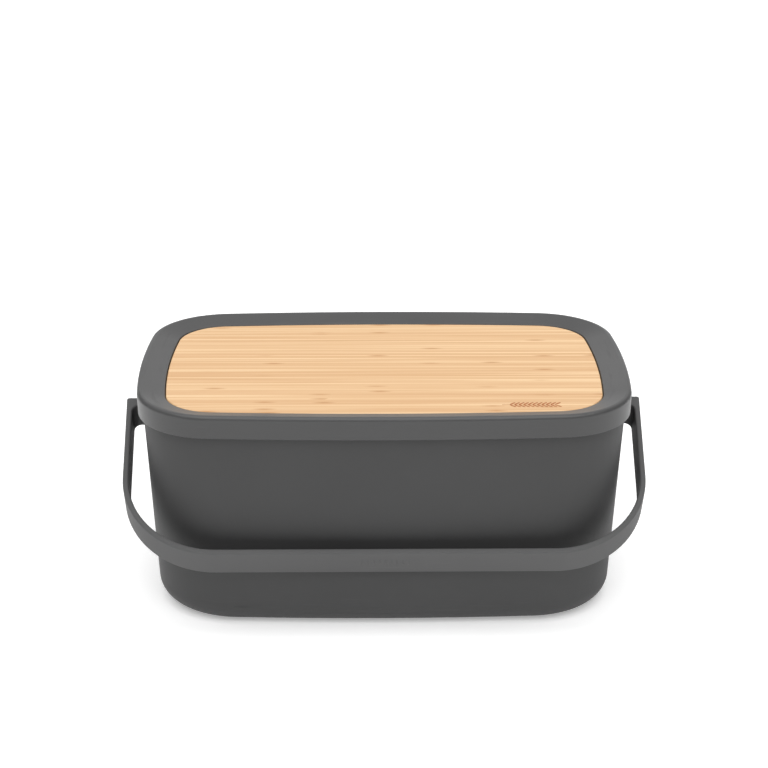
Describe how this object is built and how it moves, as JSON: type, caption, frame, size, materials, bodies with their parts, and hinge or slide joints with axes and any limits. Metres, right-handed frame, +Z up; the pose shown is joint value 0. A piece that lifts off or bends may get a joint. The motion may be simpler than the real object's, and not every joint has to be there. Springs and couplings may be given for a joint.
{
  "type": "bread bin",
  "caption": "Oblong bread bin with rounded, bowed sides, a lift-off dished lid holding a wooden board, and a swinging bail handle.",
  "frame": {"origin": "centre of the footprint, on the surface that the bin stands on", "axes": "+X along the length, -Y towards the front, where the handle rests, and +Z up"},
  "size_m": [0.393, 0.2468, 0.1702],
  "materials": {
    "tub_plastic": "fine matt moulded, dark grey",
    "lid_plastic": "fine matt moulded, dark grey",
    "handle_plastic": "fine matt moulded, dark grey",
    "pad_rubber": "soft matt",
    "washer_plastic": "smooth, waxy",
    "pin_plastic": "smooth moulded, dark grey",
    "board_wood": "pale laminated bamboo, lightly oiled",
    "screw_steel": "zinc plated"
  },
  "bodies": {
    "bin": {"tub": "tub_plastic", "foot_pad_front_left": "pad_rubber", "foot_pad_back_left": "pad_rubber", "foot_pad_front_right": "pad_rubber", "foot_pad_back_right": "pad_rubber", "pivot_washer_left": "washer_plastic", "pivot_washer_right": "washer_plastic"},
    "lid": {"lid_frame": "lid_plastic", "board": "board_wood", "board_screws": "screw_steel"},
    "handle": {"handle": "handle_plastic", "pivot_pin_left": "pin_plastic", "pivot_pin_right": "pin_plastic"}
  },
  "joints": [
    {"name": "lid_lift", "type": "slide", "parent": "bin", "child": "lid", "axis": [0, 0, 1], "range_m": [0, 0.21]},
    {"name": "handle_swing", "type": "hinge", "parent": "bin", "child": "handle", "pos_m": [0, 0, 0.1293], "axis": [-1, 0, 0], "range_deg": [0, 241]}
  ]
}
